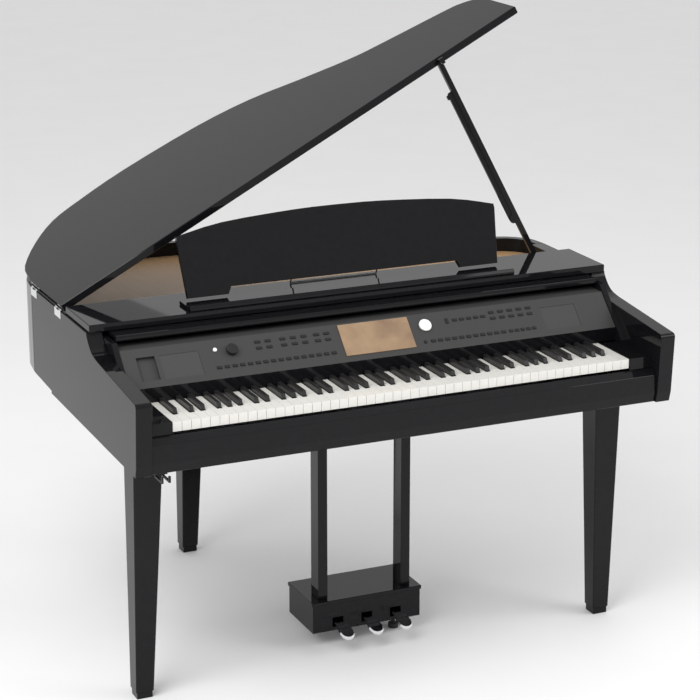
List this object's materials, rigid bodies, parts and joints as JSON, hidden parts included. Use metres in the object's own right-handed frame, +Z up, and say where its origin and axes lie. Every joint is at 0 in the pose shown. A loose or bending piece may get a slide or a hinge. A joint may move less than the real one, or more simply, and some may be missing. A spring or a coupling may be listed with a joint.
{
  "type": "digital grand piano",
  "caption": "Small digital grand piano in black polish with an open lid on a prop, sloping control panel, sliding key cover and pedals.",
  "frame": {"origin": "centre of the bounding box's base, on the floor", "axes": "+Z up, +Y from the player towards the tail, +X to the player's right (treble)"},
  "size_m": [1.4318, 1.1414, 1.5877],
  "materials": {
    "polished_black": "high-gloss black polish",
    "satin_black": "satin black",
    "panel_grey": "fine satin dark grey",
    "grille_grey": "dark grey mesh",
    "white_key": "smooth off-white",
    "black_key": "satin black",
    "spruce": "clear varnished spruce",
    "chrome": "polished",
    "steel": "plain steel",
    "white_plastic": "white",
    "screen_glass": "touch screen",
    "circuit_board": "green circuit board",
    "rubber": "black rubber"
  },
  "bodies": {
    "case": {"left_side": "polished_black", "right_side": "polished_black", "curved_rim": "polished_black", "bottom_board": "satin_black", "soundboard": "spruce", "cross_wall": "satin_black", "top_board": "polished_black", "front_rail": "polished_black", "left_key_block": "polished_black", "right_key_block": "polished_black", "key_frame": "steel", "control_panel": "panel_grey", "touch_screen": "screen_glass", "left_grille": "grille_grey", "right_grille": "grille_grey", "fallboard_strip": "polished_black", "music_ledge": "polished_black", "lid_hinge_front": "chrome", "lid_hinge_rear": "chrome", "prop_bracket": "steel", "leg_front_left": "polished_black", "leg_front_right": "polished_black", "leg_rear": "polished_black", "pedal_box": "polished_black", "pedal_box_top": "polished_black", "lyre_post_left": "polished_black", "lyre_post_right": "polished_black", "woofer_left": "satin_black", "woofer_right": "satin_black", "main_board": "circuit_board", "power_inlet": "satin_black", "headphone_hanger": "satin_black"},
    "lid": {"lid": "polished_black"},
    "prop_stick": {"prop_stick": "polished_black"},
    "half_prop": {"half_prop": "polished_black"},
    "music_rest": {"music_rest": "polished_black"},
    "rest_stay": {"rest_stay": "steel"},
    "cover_shaft": {"cover_shaft": "steel"},
    "key_cover": {"key_cover": "polished_black"},
    "pedal_left": {"pedal_left": "chrome"},
    "pedal_middle": {"pedal_middle": "chrome"},
    "pedal_right": {"pedal_right": "chrome"},
    "pedal_adjuster": {"pedal_adjuster": "rubber"},
    "volume_knob": {"volume_knob": "satin_black"},
    "data_dial": {"data_dial": "white_plastic"},
    "buttons_left": {"buttons_left": "satin_black"},
    "buttons_right": {"buttons_right": "satin_black"},
    "power_button": {"power_button": "white_plastic"},
    "keys_a": {"keys_a": "white_key"},
    "keys_a_sharp": {"keys_a_sharp": "black_key"},
    "keys_b": {"keys_b": "white_key"},
    "keys_c": {"keys_c": "white_key"},
    "keys_c_sharp": {"keys_c_sharp": "black_key"},
    "keys_d": {"keys_d": "white_key"},
    "keys_d_sharp": {"keys_d_sharp": "black_key"},
    "keys_e": {"keys_e": "white_key"},
    "keys_f": {"keys_f": "white_key"},
    "keys_f_sharp": {"keys_f_sharp": "black_key"},
    "keys_g": {"keys_g": "white_key"},
    "keys_g_sharp": {"keys_g_sharp": "black_key"}
  },
  "joints": [
    {"name": "lid_hinge", "type": "hinge", "parent": "case", "child": "lid", "pos_m": [-0.7122, 0.11675, 0.9076], "axis": [0, 1, 0], "range_deg": [0, 27.92]},
    {"name": "prop_fold", "type": "hinge", "parent": "case", "child": "prop_stick", "pos_m": [0.621, -0.0255, 0.889], "axis": [0, -1, 0], "range_deg": [0, 60.82]},
    {"name": "half_prop_swing", "type": "hinge", "parent": "prop_stick", "child": "half_prop", "pos_m": [0.53438, -0.0255, 1.02181], "axis": [0, 1, 0], "range_deg": [-75, 0]},
    {"name": "music_rest_fold", "type": "hinge", "parent": "case", "child": "music_rest", "pos_m": [0, -0.14025, 0.9435], "axis": [-1, 0, 0], "range_deg": [0, 72.6]},
    {"name": "rest_stay_swing", "type": "hinge", "parent": "music_rest", "child": "rest_stay", "pos_m": [0, -0.10923, 1.01238], "axis": [1, 0, 0], "range_deg": [0, 128.9]},
    {"name": "key_cover_slide", "type": "slide", "parent": "case", "child": "cover_shaft", "axis": [0, -1, 0], "range_m": [0, 0.252]},
    {"name": "key_cover_tilt", "type": "hinge", "parent": "cover_shaft", "child": "key_cover", "pos_m": [0, -0.04525, 0.8975], "axis": [1, 0, 0], "range_deg": [0, 17.21]},
    {"name": "pedal_adjuster_turn", "type": "hinge", "parent": "case", "child": "pedal_adjuster", "pos_m": [0.1, -0.22075, 0.006], "axis": [0, 0, 1], "continuous": true},
    {"name": "volume_knob_turn", "type": "hinge", "parent": "case", "child": "volume_knob", "pos_m": [-0.384, -0.31921, 0.84914], "axis": [0, -0.7071, 0.7071], "range_deg": [-140, 140]},
    {"name": "data_dial_turn", "type": "hinge", "parent": "case", "child": "data_dial", "pos_m": [0.137, -0.31815, 0.8502], "axis": [0, -0.7071, 0.7071], "continuous": true},
    {"name": "buttons_left_press", "type": "slide", "parent": "case", "child": "buttons_left", "axis": [0, 0.7071, -0.7071], "range_m": [0, 0.001], "stiffness_N_per_m": 3000, "springref_m": -0.001},
    {"name": "buttons_right_press", "type": "slide", "parent": "case", "child": "buttons_right", "axis": [0, 0.7071, -0.7071], "range_m": [0, 0.001], "stiffness_N_per_m": 3000, "springref_m": -0.001},
    {"name": "power_button_press", "type": "slide", "parent": "case", "child": "power_button", "axis": [0, 0.7071, -0.7071], "range_m": [0, 0.001], "stiffness_N_per_m": 800, "springref_m": -0.001},
    {"name": "pedal_left_press", "type": "hinge", "parent": "case", "child": "pedal_left", "pos_m": [-0.082, -0.14075, 0.0665], "axis": [1, 0, 0], "range_deg": [0, 3.4], "stiffness_Nm_per_rad": 30, "springref_deg": -5.73},
    {"name": "pedal_middle_press", "type": "hinge", "parent": "case", "child": "pedal_middle", "pos_m": [0, -0.14075, 0.0665], "axis": [1, 0, 0], "range_deg": [0, 3.4], "stiffness_Nm_per_rad": 30, "springref_deg": -5.73},
    {"name": "pedal_right_press", "type": "hinge", "parent": "case", "child": "pedal_right", "pos_m": [0.082, -0.14075, 0.0665], "axis": [1, 0, 0], "range_deg": [0, 3.4], "stiffness_Nm_per_rad": 30, "springref_deg": -5.73},
    {"name": "keys_a_press", "type": "hinge", "parent": "case", "child": "keys_a", "pos_m": [0, -0.30275, 0.7367], "axis": [1, 0, 0], "range_deg": [0, 2.6], "stiffness_Nm_per_rad": 40, "springref_deg": -5.73},
    {"name": "keys_a_sharp_press", "type": "hinge", "parent": "case", "child": "keys_a_sharp", "pos_m": [0, -0.30275, 0.7367], "axis": [1, 0, 0], "range_deg": [0, 2.6], "stiffness_Nm_per_rad": 40, "springref_deg": -5.73},
    {"name": "keys_b_press", "type": "hinge", "parent": "case", "child": "keys_b", "pos_m": [0, -0.30275, 0.7367], "axis": [1, 0, 0], "range_deg": [0, 2.6], "stiffness_Nm_per_rad": 40, "springref_deg": -5.73},
    {"name": "keys_c_press", "type": "hinge", "parent": "case", "child": "keys_c", "pos_m": [0, -0.30275, 0.7367], "axis": [1, 0, 0], "range_deg": [0, 2.6], "stiffness_Nm_per_rad": 40, "springref_deg": -5.73},
    {"name": "keys_c_sharp_press", "type": "hinge", "parent": "case", "child": "keys_c_sharp", "pos_m": [0, -0.30275, 0.7367], "axis": [1, 0, 0], "range_deg": [0, 2.6], "stiffness_Nm_per_rad": 40, "springref_deg": -5.73},
    {"name": "keys_d_press", "type": "hinge", "parent": "case", "child": "keys_d", "pos_m": [0, -0.30275, 0.7367], "axis": [1, 0, 0], "range_deg": [0, 2.6], "stiffness_Nm_per_rad": 40, "springref_deg": -5.73},
    {"name": "keys_d_sharp_press", "type": "hinge", "parent": "case", "child": "keys_d_sharp", "pos_m": [0, -0.30275, 0.7367], "axis": [1, 0, 0], "range_deg": [0, 2.6], "stiffness_Nm_per_rad": 40, "springref_deg": -5.73},
    {"name": "keys_e_press", "type": "hinge", "parent": "case", "child": "keys_e", "pos_m": [0, -0.30275, 0.7367], "axis": [1, 0, 0], "range_deg": [0, 2.6], "stiffness_Nm_per_rad": 40, "springref_deg": -5.73},
    {"name": "keys_f_press", "type": "hinge", "parent": "case", "child": "keys_f", "pos_m": [0, -0.30275, 0.7367], "axis": [1, 0, 0], "range_deg": [0, 2.6], "stiffness_Nm_per_rad": 40, "springref_deg": -5.73},
    {"name": "keys_f_sharp_press", "type": "hinge", "parent": "case", "child": "keys_f_sharp", "pos_m": [0, -0.30275, 0.7367], "axis": [1, 0, 0], "range_deg": [0, 2.6], "stiffness_Nm_per_rad": 40, "springref_deg": -5.73},
    {"name": "keys_g_press", "type": "hinge", "parent": "case", "child": "keys_g", "pos_m": [0, -0.30275, 0.7367], "axis": [1, 0, 0], "range_deg": [0, 2.6], "stiffness_Nm_per_rad": 40, "springref_deg": -5.73},
    {"name": "keys_g_sharp_press", "type": "hinge", "parent": "case", "child": "keys_g_sharp", "pos_m": [0, -0.30275, 0.7367], "axis": [1, 0, 0], "range_deg": [0, 2.6], "stiffness_Nm_per_rad": 40, "springref_deg": -5.73}
  ],
  "couplings": [
    {"joint": "prop_fold", "follows": "lid_hinge", "ratio": 2.1776},
    {"joint": "rest_stay_swing", "follows": "music_rest_fold", "ratio": 1.7754},
    {"joint": "key_cover_tilt", "follows": "key_cover_slide", "rad_per_m": 1.191}
  ]
}
